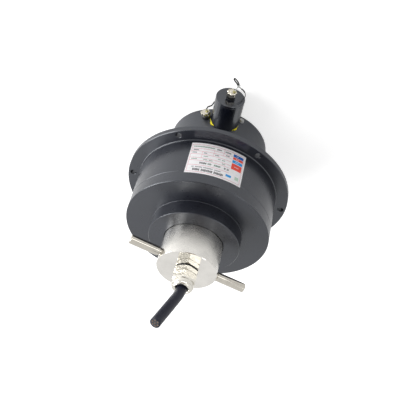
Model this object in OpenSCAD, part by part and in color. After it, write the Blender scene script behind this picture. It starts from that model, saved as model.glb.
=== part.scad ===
// Flange-mounted slip ring with a solid shaft.
// A fixed housing carries two bearings, brush gear and a side outlet tower.
// The turning shaft carries the ring stacks, two torque arms and the cable gland.
// +Z runs along the shaft; the origin is the centre of the rear face it stands on.

/* [Housing] */
// Diameter of the rear housing
rear_d = 117.5; // [116:0.5:119]
// Height of the rear housing, up to the back of the flange
rear_h = 70; // [69:0.5:72]
// Wall thickness of the rear housing
rear_wall = 8; // [7.5:0.5:8.5]
// Diameter of the mounting flange
flange_d = 188; // [186:1:194]
// Thickness of the mounting flange
flange_t = 6.6; // [6:0.2:7]
// Diameter of the main drum in front of the flange
drum_d = 160; // [158:1:161]
// Wall thickness of the main drum
drum_wall = 8; // [7:0.5:9]
// Height of the seam between the main housing and the front cover
seam_z = 123; // [123:0.5:125]
// Thickness of the front cover above the seam
cover_t = 14.3; // [13.8:0.1:15]
// Diameter of the boss on the front cover
boss_d = 101; // [99:1:104]
// Height of the boss
boss_h = 17; // [16:0.5:19]

/* [Mounting holes] */
// Number of holes in the flange
hole_count = 6; // [4, 6, 8]
// Diameter of each flange hole
hole_d = 6.6; // [5.5:0.1:7]
// Pitch circle diameter of the flange holes
hole_pcd = 176; // [174:0.5:177]

/* [Shaft] */
// Diameter of the shaft head
shaft_d = 65; // [64:0.5:65]
// Length of shaft that stands out of the boss
head_h = 36.7; // [35:0.1:42]
// Height of the torque arms below the shaft's end
arm_drop = 9; // [7.5:0.5:12]
// Diameter of a torque arm
arm_d = 10; // [8:0.5:12]
// Reach of each torque arm from the shaft's axis
arm_reach = 67; // [50:1:80]
// Direction of the first torque arm at rest
arm_angle = -16; // [-40:1:40]

/* [Outlet tower] */
// Diameter of the outlet tower
tower_d = 32.8; // [32:0.2:33.4]
// Distance of the tower's end from the shaft's axis
tower_reach = 94.2; // [90:0.2:100]
// Height of the tower's axis above the rear face
tower_z = 17; // [17:0.5:20]

/* [Connectors] */
// Direction of the side connector
side_angle = -68.5; // [-68.5:0.5:-62]
// Height of the side connector's axis
side_z = 14.5; // [13:0.5:15]

/* [Cable gland] */
// Width across flats of the gland's two hexagons
gland_af = 24; // [22:0.5:27]
// Diameter of the cable
cable_d = 11; // [10:0.5:11.5]

/* [Ring stacks] */
// Number of signal rings
signal_count = 8; // [4:1:8]
// Number of power rings
power_count = 3; // [2:1:3]

/* [Label] */
// Width of the label along the drum's curve, in degrees
label_sweep = 43.6; // [30:0.2:50]
// Height of the label
label_h = 44; // [30:1:46]

/* [Hidden] */
// Fineness of the round faces
$fn = 96;
// Small overshoot for cuts
e = 0.5;
// Edge break on turned parts
chamfer = 0.6;
// Gap at a push fit
fit_gap = 0.1;

rear_r = rear_d / 2;
rear_in = rear_r - rear_wall;
flange_r = flange_d / 2;
flange_z = rear_h + flange_t;
drum_r = drum_d / 2;
drum_in = drum_r - drum_wall;
deck_z = rear_h + 8;
front_z = seam_z + cover_t;
boss_r = boss_d / 2;
boss_z = front_z + boss_h;
shaft_r = shaft_d / 2;
end_z = boss_z + head_h;
arm_r = arm_d / 2;
arm_z = end_z - arm_drop;

// Rear cover, set into the rear housing
cover_plate_t = 5;
cover_plate_r = rear_r - 1.75;
cover_screw_r = rear_r - 4.85;
spigot_h = 4;

// O-rings: section radius, and the depth of the groove that holds one
cord_r = 0.85;
cord_play = 0.02;
groove_w = 2.0;

// Rear bearing, 25 x 47 x 12
rear_brg_z = 6;
rear_brg_w = 12;
rear_brg_in = 12.5;
rear_brg_out = 23.5;
rear_ball_r = 3.2;
rear_ball_pcr = 18;
rear_balls = 10;

// Front bearing, 65 x 100 x 18
front_brg_w = 18;
front_brg_z = front_z - 20.3;
front_brg_out = 50;
front_ball_r = 5.9;
front_ball_pcr = 41.25;
front_balls = 14;

// Shaft seal above the front bearing
seal_z = front_brg_z + front_brg_w + 1;
seal_w = 10;
seal_out = 45;

// Shaft steps
collar_r = 37;
power_r = 30;
signal_r = 20;
wire_bore_r = 6;
power_z = front_brg_z - 8;
arm_shank_r = 4;
arm_seat = 20;

// Power rings sit in the main drum, signal rings in the rear housing
power_ring_r = 50;
power_ring_t = 5;
power_gap_t = 3;
power_gap_r = 54;
power_low = power_z - power_count * power_ring_t - (power_count + 1) * power_gap_t;
signal_ring_r = 29;
signal_ring_t = 3.2;
signal_gap_t = 2.2;
signal_gap_r = 32;
signal_top = rear_h + 6;
signal_low = signal_top - signal_count * signal_ring_t - (signal_count + 1) * signal_gap_t;

// Housing joint screws, M4, between the deck of the main housing and the rear wall
joint_screw_r = rear_r - 4.1;
joint_screws = 6;

// Brush holders: foot screws, and the channels that guide the brushes
holder_screw_at = [62, 14];
holder_foot_t = 4;
brush_w = 10;
brush_back = 65.5;
brush_gap = 0.4;

// Tower: bottom seat, wall and cap
tower_r = tower_d / 2;
tower_seat = rear_r;
tower_bore_r = 12;
tower_nipple_r = 8.5;
tower_nipple_bore_r = 6.5;
tower_cap_t = 2.6;
bead_from = 10.9;

// Screws on the tower's sides that hold the lanyards' ends
lanyard_screw_r = 1.25;
lanyard_screw_turn = 128;
lanyard_screw_depth = 3;

// Earth screw beside the tower
earth_angle = -108.5;
earth_z = 8;

// Connector sizes, measured along its own axis from the face it is screwed to
conn_pad_r = 5.4;
conn_shank_r = 3.9;
side_seat = rear_r - 0.35;

// Gland heights above the shaft's end
gasket_t = 1.2;
hex_t = 5.2;
nut_h = 16.4;
gland_r = 10;
gland_neck_r = 9.9;
gland_gap = 0.4;
nut_z = end_z + gasket_t + hex_t + gland_gap;
mouth_z = nut_z + nut_h;
ledge_z = end_z + gasket_t + hex_t + 1;
insert_z = mouth_z - 8;
mouth_r = 7;

// Label: starts just above the flange
label_t = 0.2;
label_z = flange_z + 4.4;

// Cable route from the gland's seal, in mm above the shaft's end and out to the side
cable_route = [
    [0, 0, 0], [0, 0, 4.6], [0.3, -0.4, 9.3], [1, -1.3, 14.1], [2.1, -2.8, 18.7],
    [3.4, -4.5, 23.2], [4.8, -6.3, 27.7], [6.2, -8.1, 32.2], [7.6, -9.9, 36.7], [9, -11.7, 41.2],
    [10.4, -13.5, 45.7], [11.8, -15.3, 50.2], [13.2, -17.1, 54.7], [14.6, -18.9, 59.2], [16.1, -20.8, 64]
];

// Wire lanyards of the two dust caps
tower_lanyard_route = [
    [-2.4, -103.5, 17], [-3, -105, 15.9], [-4, -107, 14.6], [-5.4, -108.4, 13.2], [-7.2, -107.8, 12.6],
    [-9.2, -106, 12], [-11.4, -103.7, 11.2], [-13.2, -101, 10.2], [-14.6, -97.6, 8.8],
    [-15.3, -93.6, 7.4], [-15.2, -89.6, 6.3]
];
tower_eye_route = [
    [-5.6, -110, 12], [-4.8, -111, 11.2], [-3, -112.6, 9.9], [-0.9, -113.8, 8.8], [0.9, -114.2, 8.2],
    [1.3, -113.4, 8.7], [0.2, -112.5, 9.7], [-1.8, -111.4, 10.8], [-3.6, -110.3, 11.9], [-4.7, -109.5, 12.9]
];
side_lanyard_route = [
    [22.5, -63.8, 14.5], [23.3, -66.4, 14.6], [23, -68.8, 13.9], [21.2, -70, 12.6], [19, -70.6, 11.2],
    [17.6, -72.6, 9.4], [16.4, -75.8, 7.4], [15.2, -79.4, 6.1], [14.6, -82.8, 5.7], [14.5, -85.6, 5.7]
];
wire_r = 0.6;

anodised = [0.24, 0.24, 0.26];
steel = [0.78, 0.78, 0.76];
nickel = [0.82, 0.81, 0.76];
brass = [0.80, 0.68, 0.36];
rubber = [0.07, 0.07, 0.08];
ring_metal = [0.86, 0.70, 0.34];
resin = [0.62, 0.22, 0.12];

// ---------- shared shapes ----------

// A turned part from its half section
module turned(section) {
    rotate_extrude() polygon(section);
}

// A plain ring
module ring(r_out, r_in, z, h) {
    translate([0, 0, z]) difference() {
        cylinder(r = r_out, h = h);
        translate([0, 0, -e]) cylinder(r = r_in, h = h + 2 * e);
    }
}

// An O-ring lying flat
module o_ring(r, z) {
    translate([0, 0, z]) rotate_extrude() translate([r, 0]) circle(r = cord_r - cord_play, $fn = 24);
}

// Copies on a circle
module around(count, r, first = 0) {
    for (i = [0 : count - 1]) rotate(first + i * 360 / count) translate([r, 0, 0]) children();
}

// Hexagonal prism, one corner on +X
module hex(af, h) {
    cylinder(r = af / sqrt(3), h = h, $fn = 6);
}

// Socket head cap screw with its head's underside at z = 0, pointing down
module cap_screw(d, l, head_d, head_h) {
    difference() {
        union() {
            cylinder(d = head_d, h = head_h, $fn = 32);
            translate([0, 0, -l]) cylinder(d = d, h = l + e, $fn = 32);
        }
        translate([0, 0, head_h / 2]) hex(d * 0.75, head_h);
    }
}

// Countersunk screw with its head flush at z = 0, pointing up
module sunk_screw(d, l, head_d) {
    difference() {
        rotate_extrude($fn = 32) polygon([
            [0, 0], [head_d / 2, 0], [head_d / 2, 0.3], [d / 2, 0.3 + (head_d - d) / 2], [d / 2, l], [0, l]
        ]);
        translate([0, 0, -e]) hex(d * 0.6, e + d * 0.4);
    }
}

// Points outward from the shaft's axis at an angle, at height z, from radius r
module outward(angle, z, r) {
    rotate(angle) translate([r, 0, z]) rotate([0, 90, 0]) children();
}

function unit(v) = v / norm(v);

// Direction of a path at point i
function heading(p, i) = unit(p[min(i + 1, len(p) - 1)] - p[max(i - 1, 0)]);

// A tube swept along a path: side names a direction that the path never takes
module swept(p, r, sides, side) {
    rings = [
        for (i = [0 : len(p) - 1])
            let (t = heading(p, i), u = unit(cross(side, t)), v = cross(t, u))
            for (k = [0 : sides - 1])
                p[i] + r * (cos(k * 360 / sides) * u + sin(k * 360 / sides) * v)
    ];
    walls = [
        for (i = [0 : len(p) - 2], k = [0 : sides - 1])
            let (a = i * sides + k, b = i * sides + (k + 1) % sides)
            [a, a + sides, b + sides, b]
    ];
    low_end = [for (k = [0 : sides - 1]) k];
    high_end = [for (k = [sides - 1 : -1 : 0]) (len(p) - 1) * sides + k];
    polyhedron(rings, concat(walls, [low_end, high_end]), convexity = 6);
}

// Deep-groove bearing ring: the groove is wider than the ball by a gap
module race(r_in, r_out, w, ball_r, ball_pcr, gap) {
    rotate_extrude() difference() {
        polygon([
            [r_in, 0.4], [r_in + 0.4, 0], [r_out - 0.4, 0], [r_out, 0.4],
            [r_out, w - 0.4], [r_out - 0.4, w], [r_in + 0.4, w], [r_in, w - 0.4]
        ]);
        translate([ball_pcr, w / 2]) circle(r = ball_r + gap, $fn = 48);
    }
}

// Crown cage: a ring over the balls with a round pocket for each
module cage(count, ball_r, ball_pcr, w) {
    difference() {
        ring(ball_pcr + ball_r * 0.3, ball_pcr - ball_r * 0.3, w / 2 + 0.4, ball_r * 0.95);
        around(count, ball_pcr) translate([0, 0, w / 2]) sphere(r = ball_r, $fn = 48);
    }
}

// ---------- housing ----------

module rear_housing() color(anodised) difference() {
    turned([
        [cover_plate_r + fit_gap, 0], [rear_r - chamfer, 0], [rear_r, chamfer], [rear_r, rear_h],
        [rear_in, rear_h], [rear_in, cover_plate_t], [cover_plate_r + fit_gap, cover_plate_t]
    ]);
    // tapped holes for the cover screws, and for the joint screws at the other end
    around(6, cover_screw_r) translate([0, 0, -e]) cylinder(d = 3, h = 13 + e, $fn = 24);
    around(joint_screws, joint_screw_r, 30)
        translate([0, 0, rear_h - 14]) cylinder(d = 4, h = 14 + e, $fn = 24);
    // threaded seat of the tower's nipple
    outward(-90, tower_z, rear_in - 3) cylinder(r = tower_nipple_r, h = rear_wall + 6);
    // spot face and hole for the side connector
    outward(side_angle, side_z, side_seat) cylinder(r = conn_pad_r, h = 3);
    outward(side_angle, side_z, rear_in - 3) cylinder(r = conn_shank_r, h = rear_wall + 6);
    // blind hole for the earth screw
    outward(earth_angle, earth_z, rear_r - 5) cylinder(d = 3, h = 8, $fn = 24);
}

module rear_cover() color(anodised) difference() {
    turned([
        [0, 0], [cover_plate_r, 0], [cover_plate_r, cover_plate_t], [rear_in - fit_gap, cover_plate_t],
        [rear_in - fit_gap, 6], [rear_in - 2 * cord_r, 6], [rear_in - 2 * cord_r, 6 + groove_w],
        [rear_in - fit_gap, 6 + groove_w], [rear_in - fit_gap, cover_plate_t + spigot_h],
        [rear_in - 4, cover_plate_t + spigot_h], [rear_in - 4, rear_brg_z],
        [rear_brg_out + 6, rear_brg_z], [rear_brg_out + 6, rear_brg_z + rear_brg_w],
        [rear_brg_out, rear_brg_z + rear_brg_w], [rear_brg_out, rear_brg_z],
        [rear_brg_out - 3, rear_brg_z], [rear_brg_out - 3, rear_brg_z - 1.5], [0, rear_brg_z - 1.5]
    ]);
    around(6, cover_screw_r) {
        translate([0, 0, -e]) cylinder(d = 3.4, h = 6 + e, $fn = 24);
        translate([0, 0, -0.01]) cylinder(d1 = 6.4, d2 = 3.4, h = 1.8, $fn = 48);
    }
}

module rear_cover_screws() color(steel) around(6, cover_screw_r) sunk_screw(3, 11, 5.6);

module rear_cover_seal() color(rubber) o_ring(rear_in - cord_r - cord_play, 6 + groove_w / 2);

module main_housing() color(anodised) difference() {
    turned([
        [rear_in - 5, rear_h - spigot_h], [rear_in - fit_gap, rear_h - spigot_h],
        [rear_in - fit_gap, rear_h - 3], [rear_in - 2 * cord_r, rear_h - 3],
        [rear_in - 2 * cord_r, rear_h - 1], [rear_in - fit_gap, rear_h - 1], [rear_in - fit_gap, rear_h],
        [flange_r - chamfer, rear_h], [flange_r, rear_h + chamfer], [flange_r, flange_z - chamfer],
        [flange_r - chamfer, flange_z],
        // small fillet where the drum leaves the flange
        for (a = [0 : 15 : 90]) [drum_r + 1.2 - 1.2 * sin(a), flange_z + 1.2 - 1.2 * cos(a)],
        [drum_r, seam_z - 0.35], [drum_r - 0.35, seam_z], [drum_in, seam_z],
        [drum_in, deck_z], [rear_in - 5, deck_z]
    ]);
    // mounting holes, lightly countersunk
    around(hole_count, hole_pcd / 2) {
        translate([0, 0, rear_h - e]) cylinder(d = hole_d, h = flange_t + 2 * e, $fn = 48);
        translate([0, 0, flange_z - 0.4]) cylinder(d1 = hole_d, d2 = hole_d + 1, h = 0.5, $fn = 48);
    }
    around(joint_screws, joint_screw_r, 30)
        translate([0, 0, rear_h - e]) cylinder(d = 4.5, h = 8 + 2 * e, $fn = 32);
    // tapped holes for the brush holders
    holder_screw_places() translate([0, 0, deck_z - 6]) cylinder(d = 3, h = 6 + e, $fn = 24);
}

module housing_screws() color(steel)
    around(joint_screws, joint_screw_r, 30) translate([0, 0, deck_z]) cap_screw(4, 18, 7, 4);

module housing_seal() color(rubber) o_ring(rear_in - cord_r - cord_play, rear_h - 2);

module front_cover() color(anodised) turned([
    [front_brg_out, seam_z - 12], [drum_in - fit_gap, seam_z - 12], [drum_in - fit_gap, seam_z - 4],
    [drum_in - 2 * cord_r, seam_z - 4], [drum_in - 2 * cord_r, seam_z - 4 + groove_w],
    [drum_in - fit_gap, seam_z - 4 + groove_w], [drum_in - fit_gap, seam_z],
    [drum_r - 0.35, seam_z], [drum_r, seam_z + 0.35],
    [drum_r, front_z - chamfer], [drum_r - chamfer, front_z],
    [boss_r, front_z], [boss_r, boss_z - chamfer], [boss_r - chamfer, boss_z],
    [shaft_r + 0.7, boss_z], [shaft_r + 0.3, boss_z - 0.4], [shaft_r + 0.3, seal_z + seal_w],
    [seal_out, seal_z + seal_w], [seal_out, front_brg_z + front_brg_w],
    [front_brg_out, front_brg_z + front_brg_w], [front_brg_out, front_brg_z],
    // groove for the circlip under the bearing
    [front_brg_out + 1.5, front_brg_z], [front_brg_out + 1.5, front_brg_z - 2],
    [front_brg_out, front_brg_z - 2]
]);

module front_cover_seal() color(rubber) o_ring(drum_in - cord_r - cord_play, seam_z - 4 + groove_w / 2);

// Lip seal: case, web and a lip that points inwards
module shaft_seal() color(rubber) turned([
    [seal_out, seal_z], [seal_out, seal_z + seal_w], [shaft_r + 1.2, seal_z + seal_w],
    [shaft_r + 0.3, seal_z + 8], [shaft_r + 2.2, seal_z + 6.5], [shaft_r + 0.3, seal_z + 3.2],
    [shaft_r + 1.4, seal_z + 2], [shaft_r + 3.6, seal_z + 4.5], [shaft_r + 3.6, seal_z + 7.5],
    [seal_out - 2, seal_z + 7.5], [seal_out - 2, seal_z]
]);

module front_bearing_outer() color(steel) translate([0, 0, front_brg_z])
    race(front_ball_pcr + 2.6, front_brg_out, front_brg_w, front_ball_r, front_ball_pcr, 0.3);

module rear_bearing_outer() color(steel) translate([0, 0, rear_brg_z])
    race(rear_ball_pcr + 1.5, rear_brg_out, rear_brg_w, rear_ball_r, rear_ball_pcr, 0.3);

// Circlip in the cover's groove, open at one side with two plier holes
module bearing_circlip() color(steel) translate([0, 0, front_brg_z - 1.9]) difference() {
    cylinder(r = front_brg_out + 1.4, h = 1.8);
    translate([0, 0, -e]) cylinder(r = front_brg_out - 3.5, h = 2 + 2 * e);
    translate([front_brg_out - 10, -5, -e]) cube([20, 10, 2 + 2 * e]);
}

// ---------- brush gear ----------

function power_ring_z(i) = power_low + power_gap_t + i * (power_ring_t + power_gap_t);
function signal_ring_z(i) = signal_low + signal_gap_t + i * (signal_ring_t + signal_gap_t);

// Copies at the four foot screws of the brush holders
module holder_screw_places() for (s = [0, 180], side = [-1, 1])
    rotate(s) translate([holder_screw_at[0], side * holder_screw_at[1], 0]) children();

// Copies at each brush: x outward, z = 0 at its lower face
module brush_places() for (s = [0, 180], i = [0 : power_count - 1])
    rotate(s) translate([0, 0, power_ring_z(i) + brush_gap]) children();

// Moulded holder with one brush channel for each power ring, screwed to the deck
module power_brush_holders() color(resin) difference() {
    for (s = [0, 180]) rotate(s) difference() {
        union() {
            translate([57, -9, deck_z]) cube([11, 18, power_z - deck_z]);
            translate([56, -17.5, deck_z]) cube([11, 35, holder_foot_t]);
        }
        // pocket over the foot of the signal brush block
        translate([55, -6, deck_z - e]) cube([7, 12, 2 + e]);
    }
    brush_places() translate([50, -brush_w / 2 - fit_gap, 0])
        cube([25, brush_w + 2 * fit_gap, power_ring_t - 2 * brush_gap]);
    holder_screw_places() translate([0, 0, deck_z - e])
        cylinder(d = 3.4, h = holder_foot_t + 2 * e, $fn = 24);
}

module holder_screws() color(steel)
    holder_screw_places() translate([0, 0, deck_z + holder_foot_t]) cap_screw(3, 9, 5.5, 3);

// Carbon brushes, their tips hollowed to the ring
module power_brushes() color([0.12, 0.12, 0.13]) difference() {
    brush_places() translate([50, -brush_w / 2, 0])
        cube([brush_back - 50, brush_w, power_ring_t - 2 * brush_gap]);
    translate([0, 0, deck_z]) cylinder(r = power_ring_r + 0.3, h = 60);
}

// Leaf springs across the channels, behind the brushes
module brush_springs() color(steel) brush_places()
    translate([brush_back, -brush_w / 2 - fit_gap, 0.6]) {
        cube([0.5, brush_w + 2 * fit_gap, power_ring_t - 2 * brush_gap - 1.2]);
        translate([0.5, 0, 0]) cube([2, 0.5, power_ring_t - 2 * brush_gap - 1.2]);
    }

// Insulating bars that hang from the deck beside the signal rings
module signal_brush_blocks() color(resin) for (s = [0, 180]) rotate(s) difference() {
    union() {
        translate([35.5, -7, signal_low]) cube([6, 14, deck_z - 4 - signal_low]);
        translate([41, -6, deck_z - 16]) cube([3.5, 12, 16]);
        // foot that the power brush holder clamps to the deck
        translate([41, -6, deck_z]) cube([21, 12, 2]);
    }
    // grooves that seat the wire pairs
    for (i = [0 : signal_count - 1])
        translate([35.5 - e, -8, signal_ring_z(i) + signal_ring_t / 2 - 0.3]) cube([1 + e, 16, 0.6]);
}

// One gold wire from the block's face to where it runs tangent in the ring's groove
module brush_wire(side) {
    start = [35.5, side * 6];
    groove_r = signal_ring_r + 0.1;
    turn = acos(groove_r / norm(start));
    azimuth = atan2(start[1], start[0]) + side * turn;
    touch = groove_r * [cos(azimuth), sin(azimuth)];
    run = touch - start;
    translate([start[0], start[1], 0]) rotate(atan2(run[1], run[0]))
        rotate([0, 90, 0]) cylinder(r = 0.3, h = norm(run) + 2, $fn = 16);
}

module signal_brush_wires() color(brass) for (s = [0, 180], i = [0 : signal_count - 1], side = [-1, 1])
    rotate(s) translate([0, 0, signal_ring_z(i) + signal_ring_t / 2]) brush_wire(side);

// ---------- outlet tower and its connectors ----------

// Places children in the frame of the tower: z out along its axis from the shaft's axis
module on_tower() {
    translate([0, 0, tower_z]) rotate([90, 0, 0]) children();
}

// Places a lanyard screw: z points out of the tower's side, z = 0 on its surface
module lanyard_screw_places() for (s = [[-1, -88.6], [1, -85.6]])
    translate([0, s[1], tower_z]) rotate([0, s[0] * lanyard_screw_turn, 0])
        translate([0, 0, tower_r]) children();

module outlet_tower() color(anodised) difference() {
    on_tower() turned([
        [tower_nipple_bore_r, rear_in + 0.6], [tower_nipple_r, rear_in + 0.6], [tower_nipple_r, tower_seat],
        [tower_r, tower_seat], [tower_r, tower_reach - tower_cap_t - 0.2],
        [tower_r - 0.2, tower_reach - tower_cap_t], [tower_bore_r, tower_reach - tower_cap_t],
        [tower_bore_r, tower_seat + 4], [tower_nipple_bore_r, tower_seat + 4]
    ]);
    lanyard_screw_places() translate([0, 0, -lanyard_screw_depth])
        cylinder(r = lanyard_screw_r, h = lanyard_screw_depth + e, $fn = 24);
}

module tower_cap() color(anodised) on_tower() difference() {
    turned([
        [0, tower_reach - tower_cap_t - 3], [tower_bore_r - fit_gap, tower_reach - tower_cap_t - 3],
        [tower_bore_r - fit_gap, tower_reach - tower_cap_t], [tower_r - 0.2, tower_reach - tower_cap_t],
        [tower_r, tower_reach - tower_cap_t + 0.2], [tower_r, tower_reach - 0.5],
        [tower_r - 0.5, tower_reach], [0, tower_reach]
    ]);
    translate([0, 0, tower_reach - 10]) cylinder(r = conn_shank_r, h = 20);
}

// Two beads of sealing compound in the gaps between the tower's flat foot and the round wall
module tower_seal() color([0.93, 0.80, 0.10]) difference() {
    on_tower() translate([0, 0, tower_seat - 6]) cylinder(r = tower_r, h = 6);
    translate([0, 0, -e]) cylinder(r = rear_r, h = rear_h, $fn = 360);
    // nothing near the middle, where the gap is thin
    translate([-bead_from, -tower_seat - e, -e]) cube([2 * bead_from, 10, rear_h]);
}

// The two connectors share every size: one on the tower's cap, one beside the tower
module both_connectors() {
    on_tower() translate([0, 0, tower_reach]) children();
    outward(side_angle, side_z, side_seat) rotate(90) children();
}

module connector_gaskets() color(rubber) both_connectors() ring(4.9, conn_shank_r + 0.1, 0, 1);

module connector_bodies() color([0.13, 0.13, 0.14]) both_connectors() difference() {
    union() {
        translate([0, 0, -7]) cylinder(r = conn_shank_r - 0.02, h = 14.2);
        translate([0, 0, 1]) cylinder(r = 4.7, h = 2.6);
    }
    translate([0, 0, -7 - e]) cylinder(r = 2.6, h = 14.2 + 2 * e);
}

module connector_nuts() color(nickel) both_connectors() difference() {
    translate([0, 0, 3.6]) rotate(20) intersection() {
        hex(9.6, 2.2);
        cylinder(r1 = 5.7, r2 = 5.2, h = 2.2);
    }
    translate([0, 0, 3]) cylinder(r = conn_shank_r, h = 4);
}

// Dust cap: a fluted cup over the connector's mouth
module dust_caps() color(nickel) both_connectors() difference() {
    rotate_extrude() polygon([
        [4.05, 6.2], [5.3, 6.2], [5.3, 8.3], [4.7, 8.9], [0, 8.9], [0, 7.2], [4.05, 7.2]
    ]);
    around(18, 5.55) translate([0, 0, 6]) cylinder(r = 0.45, h = 2.2, $fn = 16);
}

module cap_studs() color(brass) both_connectors() translate([-2.4, 0, 8.9]) {
    cylinder(r = 2.1, h = 0.5, $fn = 48);
    translate([0, 0, 0.5]) cylinder(r = 1.3, h = 0.9, $fn = 32);
}

module cap_lanyards() color(steel) {
    swept(tower_lanyard_route, wire_r, 8, [0, 0.3, 1]);
    swept(tower_eye_route, wire_r * 0.9, 8, [0.9, 0.3, 0.3]);
    swept(side_lanyard_route, wire_r, 8, [0, 0.3, 1]);
}

module lanyard_crimps() color(steel) translate([-5.6, -109.2, 12.6])
    rotate([0, 35, 62]) cylinder(r = 1.2, h = 3, center = true, $fn = 32);

module lanyard_screws() color(steel) lanyard_screw_places() {
    translate([0, 0, -lanyard_screw_depth])
        cylinder(r = lanyard_screw_r, h = lanyard_screw_depth + 0.2, $fn = 24);
    cylinder(r = 2.3, h = 1.6, $fn = 32);
}

module earth_screw() color(steel) outward(earth_angle, earth_z, rear_r) {
    translate([0, 0, -4]) cylinder(r = 1.5, h = 4.6, $fn = 24);
    cylinder(r = 3.2, h = 0.6, $fn = 32);
    translate([0, 0, 0.6]) difference() {
        cylinder(r = 2.6, h = 1.8, $fn = 32);
        translate([-3, -0.4, 1]) cube([6, 0.8, 1]);
    }
}

module label() color([0.93, 0.92, 0.93])
    rotate(-91.8 - label_sweep / 2) rotate_extrude(angle = label_sweep)
        translate([drum_r, label_z]) square([label_t, label_h]);

// ---------- turning parts ----------

module shaft() color(steel) difference() {
    turned([
        [0, rear_brg_z + 1], [rear_brg_in - 0.6, rear_brg_z + 1], [rear_brg_in, rear_brg_z + 1.6],
        [rear_brg_in, rear_brg_z + rear_brg_w], [15, rear_brg_z + rear_brg_w],
        [15, rear_brg_z + rear_brg_w + 2],
        [signal_r, rear_brg_z + rear_brg_w + 2], [signal_r, signal_top], [power_r, signal_top],
        [power_r, power_z], [collar_r, power_z], [collar_r, front_brg_z], [shaft_r, front_brg_z],
        // groove for the circlip above the bearing
        [shaft_r, front_brg_z + front_brg_w + 0.1], [shaft_r - 1.2, front_brg_z + front_brg_w + 0.1],
        [shaft_r - 1.2, seal_z], [shaft_r, seal_z],
        [shaft_r, end_z - chamfer], [shaft_r - chamfer, end_z], [0, end_z]
    ]);
    // tapped seat of the gland, then the bore that carries the wires down to the rings
    translate([0, 0, end_z - 12]) cylinder(r = gland_r, h = 12 + e);
    translate([0, 0, signal_low]) cylinder(r = wire_bore_r, h = end_z - signal_low);
    // tapped seats of the torque arms
    for (s = [0, 180]) outward(arm_angle + s, arm_z, arm_seat - 1) cylinder(r = arm_shank_r, h = 30);
    // slot that lets the wires out to the signal rings, and a hole for each power ring
    translate([0, -2.5, signal_low + 2]) cube([signal_r + e, 5, signal_top - signal_low - 6]);
    for (i = [0 : power_count - 1])
        outward(60 + 120 * i, power_ring_z(i) + power_ring_t / 2, 0)
            cylinder(r = 2, h = power_r + e, $fn = 32);
}

module front_bearing_inner() color(steel) translate([0, 0, front_brg_z])
    race(shaft_r, front_ball_pcr - 2.6, front_brg_w, front_ball_r, front_ball_pcr, 0);

module front_bearing_balls() color(steel) translate([0, 0, front_brg_z + front_brg_w / 2])
    around(front_balls, front_ball_pcr) sphere(r = front_ball_r, $fn = 48);

module front_bearing_cage() color(brass) translate([0, 0, front_brg_z])
    cage(front_balls, front_ball_r, front_ball_pcr, front_brg_w);

module rear_bearing_inner() color(steel) translate([0, 0, rear_brg_z])
    race(rear_brg_in, rear_ball_pcr - 1.5, rear_brg_w, rear_ball_r, rear_ball_pcr, 0);

module rear_bearing_balls() color(steel) translate([0, 0, rear_brg_z + rear_brg_w / 2])
    around(rear_balls, rear_ball_pcr) sphere(r = rear_ball_r, $fn = 48);

module rear_bearing_cage() color(brass) translate([0, 0, rear_brg_z])
    cage(rear_balls, rear_ball_r, rear_ball_pcr, rear_brg_w);

module shaft_circlip() color(steel) translate([0, 0, front_brg_z + front_brg_w + 0.1]) difference() {
    cylinder(r = shaft_r + 2.5, h = 0.8);
    translate([0, 0, -e]) cylinder(r = shaft_r - 1.2, h = 1 + 2 * e);
    translate([shaft_r - 8, -4, -e]) cube([16, 8, 1 + 2 * e]);
}

module power_rings() color(ring_metal) for (i = [0 : power_count - 1])
    ring(power_ring_r, power_r, power_ring_z(i), power_ring_t);

module power_insulators() color(resin) for (i = [0 : power_count])
    ring(power_gap_r, power_r, power_low + i * (power_ring_t + power_gap_t), power_gap_t);

// Slotted locknuts that clamp the two stacks against the shaft's shoulders
module locknut(r_in, r_out, z, h) difference() {
    ring(r_out, r_in, z, h);
    around(4, r_out) translate([-2.5, -2.5, z - e]) cube([5, 5, h + 2 * e]);
}

module power_locknut() color(steel) locknut(power_r, power_r + 9, power_low - 4, 4);

// Each signal ring has a V groove for its wires
module signal_rings() color(ring_metal) for (i = [0 : signal_count - 1])
    translate([0, 0, signal_ring_z(i)]) turned([
        [signal_r, 0], [signal_ring_r, 0], [signal_ring_r, 0.5],
        [signal_ring_r - 1.1, signal_ring_t / 2], [signal_ring_r, signal_ring_t - 0.5],
        [signal_ring_r, signal_ring_t], [signal_r, signal_ring_t]
    ]);

module signal_insulators() color(resin) for (i = [0 : signal_count])
    ring(signal_gap_r, signal_r, signal_low + i * (signal_ring_t + signal_gap_t), signal_gap_t);

module signal_locknut() color(steel) locknut(signal_r, signal_r + 9, signal_low - 6, 6);

// Torque arm: bright rod with a turned-down neck and a threaded shank
module torque_arm() rotate([0, 90, 0]) turned([
    [0, arm_seat], [arm_shank_r, arm_seat], [arm_shank_r, shaft_r + 1.6],
    [arm_r - 0.4, shaft_r + 1.6], [arm_r, shaft_r + 2],
    [arm_r, arm_reach - 0.5], [arm_r - 0.5, arm_reach], [0, arm_reach]
]);

module torque_arm_a() color(steel) translate([0, 0, arm_z]) rotate(arm_angle) torque_arm();

module torque_arm_b() color(steel) translate([0, 0, arm_z]) rotate(arm_angle + 180) torque_arm();

module gland_gasket() color(rubber) ring(13.4, gland_r + 0.1, end_z, gasket_t);

// Hexagon with turned-off corners, one corner towards the tower
module turned_hex(h) {
    rotate(30) intersection() {
        hex(gland_af, h);
        turned([
            [0, 0], [gland_af / 2 + 0.4, 0], [gland_af / 2 + 2, 0.9],
            [gland_af / 2 + 2, h - 0.9], [gland_af / 2 + 0.4, h], [0, h]
        ]);
    }
}

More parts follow.
